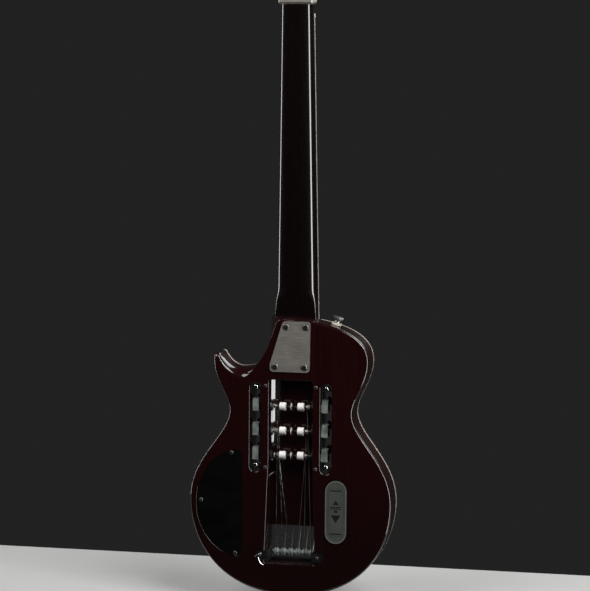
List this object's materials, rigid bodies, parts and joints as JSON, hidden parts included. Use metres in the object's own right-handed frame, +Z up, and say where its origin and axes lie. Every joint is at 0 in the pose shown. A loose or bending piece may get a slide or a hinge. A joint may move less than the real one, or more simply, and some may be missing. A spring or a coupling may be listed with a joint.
{
  "type": "headless travel guitar",
  "caption": "Compact headless electric guitar with geared tuners inside its body, string rollers, a battery tray and a single cutaway.",
  "frame": {"origin": "centre of the outer face of the tail strap button, at half the body's thickness", "axes": "+Z runs up the neck, -Y is the back that the tuners are seen from, +X is the bass side"},
  "size_m": [0.261, 0.0648, 0.7735],
  "materials": {
    "cherry_lacquer": "dark cherry, high gloss lacquer",
    "neck_lacquer": "dark cherry, high gloss lacquer",
    "rosewood": "oiled",
    "cream_binding": "polished",
    "satin_metal": "satin",
    "chrome": "polished",
    "grey_metal": "satin",
    "steel": "plain",
    "black_plastic": "matte",
    "grey_plastic": "fine texture",
    "bone": "sanded",
    "board_green": "coated",
    "battery_case": "printed"
  },
  "bodies": {
    "guitar": {"body": "cherry_lacquer", "top_binding": "cream_binding", "neck": "neck_lacquer", "truss_rod": "steel", "fingerboard": "rosewood", "nut": "bone", "headpiece": "satin_metal", "neck_plate": "satin_metal", "neck_screw_1": "steel", "neck_screw_2": "steel", "neck_screw_3": "steel", "neck_screw_4": "steel", "tuner_rail_left": "cherry_lacquer", "tuner_rail_right": "cherry_lacquer", "tuner_plate_left": "grey_metal", "tuner_plate_right": "grey_metal", "bridge_stud_left": "chrome", "bridge_stud_right": "chrome", "string_1": "steel", "string_2": "steel", "string_3": "steel", "string_4": "steel", "string_5": "steel", "string_6": "steel", "roller_axle": "steel", "roller_hanger": "black_plastic", "bridge": "chrome", "pickup_ring": "black_plastic", "humbucker": "chrome", "volume_pot": "steel", "tone_pot": "steel", "circuit_board": "board_green", "output_jack": "grey_metal", "control_cover": "black_plastic", "battery_frame": "grey_plastic", "strap_button_upper": "chrome", "strap_button_tail": "chrome"},
    "post_1": {"tuner_post_1": "chrome"},
    "post_2": {"tuner_post_2": "chrome"},
    "post_3": {"tuner_post_3": "chrome"},
    "post_4": {"tuner_post_4": "chrome"},
    "post_5": {"tuner_post_5": "chrome"},
    "post_6": {"tuner_post_6": "chrome"},
    "key_1": {"tuner_key_1": "grey_metal"},
    "key_2": {"tuner_key_2": "grey_metal"},
    "key_3": {"tuner_key_3": "grey_metal"},
    "key_4": {"tuner_key_4": "grey_metal"},
    "key_5": {"tuner_key_5": "grey_metal"},
    "key_6": {"tuner_key_6": "grey_metal"},
    "roller_1": {"string_roller_1": "chrome"},
    "roller_2": {"string_roller_2": "chrome"},
    "roller_3": {"string_roller_3": "chrome"},
    "roller_4": {"string_roller_4": "chrome"},
    "roller_5": {"string_roller_5": "chrome"},
    "roller_6": {"string_roller_6": "chrome"},
    "volume_knob": {"volume_knob": "black_plastic"},
    "tone_knob": {"tone_knob": "black_plastic"},
    "battery_tray": {"battery_tray": "grey_plastic", "battery": "battery_case"}
  },
  "joints": [
    {"name": "post_1_turn", "type": "hinge", "parent": "guitar", "child": "post_1", "pos_m": [-0.0456, -0.01095, 0.2525], "axis": [1, 0, 0], "continuous": true},
    {"name": "post_2_turn", "type": "hinge", "parent": "guitar", "child": "post_2", "pos_m": [-0.0456, -0.01095, 0.2213], "axis": [1, 0, 0], "continuous": true},
    {"name": "post_3_turn", "type": "hinge", "parent": "guitar", "child": "post_3", "pos_m": [-0.0456, -0.01095, 0.1901], "axis": [1, 0, 0], "continuous": true},
    {"name": "post_4_turn", "type": "hinge", "parent": "guitar", "child": "post_4", "pos_m": [0.0456, -0.01095, 0.1901], "axis": [1, 0, 0], "continuous": true},
    {"name": "post_5_turn", "type": "hinge", "parent": "guitar", "child": "post_5", "pos_m": [0.0456, -0.01095, 0.2213], "axis": [1, 0, 0], "continuous": true},
    {"name": "post_6_turn", "type": "hinge", "parent": "guitar", "child": "post_6", "pos_m": [0.0456, -0.01095, 0.2525], "axis": [1, 0, 0], "continuous": true},
    {"name": "key_1_turn", "type": "hinge", "parent": "guitar", "child": "key_1", "pos_m": [-0.0456, -0.02065, 0.2599], "axis": [0, 1, 0], "continuous": true},
    {"name": "key_2_turn", "type": "hinge", "parent": "guitar", "child": "key_2", "pos_m": [-0.0456, -0.02065, 0.2287], "axis": [0, 1, 0], "continuous": true},
    {"name": "key_3_turn", "type": "hinge", "parent": "guitar", "child": "key_3", "pos_m": [-0.0456, -0.02065, 0.1975], "axis": [0, 1, 0], "continuous": true},
    {"name": "key_4_turn", "type": "hinge", "parent": "guitar", "child": "key_4", "pos_m": [0.0456, -0.02065, 0.1975], "axis": [0, 1, 0], "continuous": true},
    {"name": "key_5_turn", "type": "hinge", "parent": "guitar", "child": "key_5", "pos_m": [0.0456, -0.02065, 0.2287], "axis": [0, 1, 0], "continuous": true},
    {"name": "key_6_turn", "type": "hinge", "parent": "guitar", "child": "key_6", "pos_m": [0.0456, -0.02065, 0.2599], "axis": [0, 1, 0], "continuous": true},
    {"name": "roller_1_turn", "type": "hinge", "parent": "guitar", "child": "roller_1", "pos_m": [-0.02325, 0.01035, 0.0615], "axis": [1, 0, 0], "continuous": true},
    {"name": "roller_2_turn", "type": "hinge", "parent": "guitar", "child": "roller_2", "pos_m": [-0.01395, 0.01035, 0.0615], "axis": [1, 0, 0], "continuous": true},
    {"name": "roller_3_turn", "type": "hinge", "parent": "guitar", "child": "roller_3", "pos_m": [-0.00465, 0.01035, 0.0615], "axis": [1, 0, 0], "continuous": true},
    {"name": "roller_4_turn", "type": "hinge", "parent": "guitar", "child": "roller_4", "pos_m": [0.00465, 0.01035, 0.0615], "axis": [1, 0, 0], "continuous": true},
    {"name": "roller_5_turn", "type": "hinge", "parent": "guitar", "child": "roller_5", "pos_m": [0.01395, 0.01035, 0.0615], "axis": [1, 0, 0], "continuous": true},
    {"name": "roller_6_turn", "type": "hinge", "parent": "guitar", "child": "roller_6", "pos_m": [0.02325, 0.01035, 0.0615], "axis": [1, 0, 0], "continuous": true},
    {"name": "volume_turn", "type": "hinge", "parent": "guitar", "child": "volume_knob", "pos_m": [-0.088, 0.02065, 0.1575], "axis": [0, 1, 0], "range_deg": [0, 300]},
    {"name": "tone_turn", "type": "hinge", "parent": "guitar", "child": "tone_knob", "pos_m": [-0.088, 0.02065, 0.1055], "axis": [0, 1, 0], "range_deg": [0, 300]},
    {"name": "battery_slide", "type": "slide", "parent": "guitar", "child": "battery_tray", "axis": [0, -1, 0], "range_m": [0, 0.03]}
  ],
  "couplings": [
    {"joint": "post_1_turn", "follows": "key_1_turn", "ratio": 0.071429},
    {"joint": "post_2_turn", "follows": "key_2_turn", "ratio": 0.071429},
    {"joint": "post_3_turn", "follows": "key_3_turn", "ratio": 0.071429},
    {"joint": "post_4_turn", "follows": "key_4_turn", "ratio": 0.071429},
    {"joint": "post_5_turn", "follows": "key_5_turn", "ratio": 0.071429},
    {"joint": "post_6_turn", "follows": "key_6_turn", "ratio": 0.071429}
  ]
}
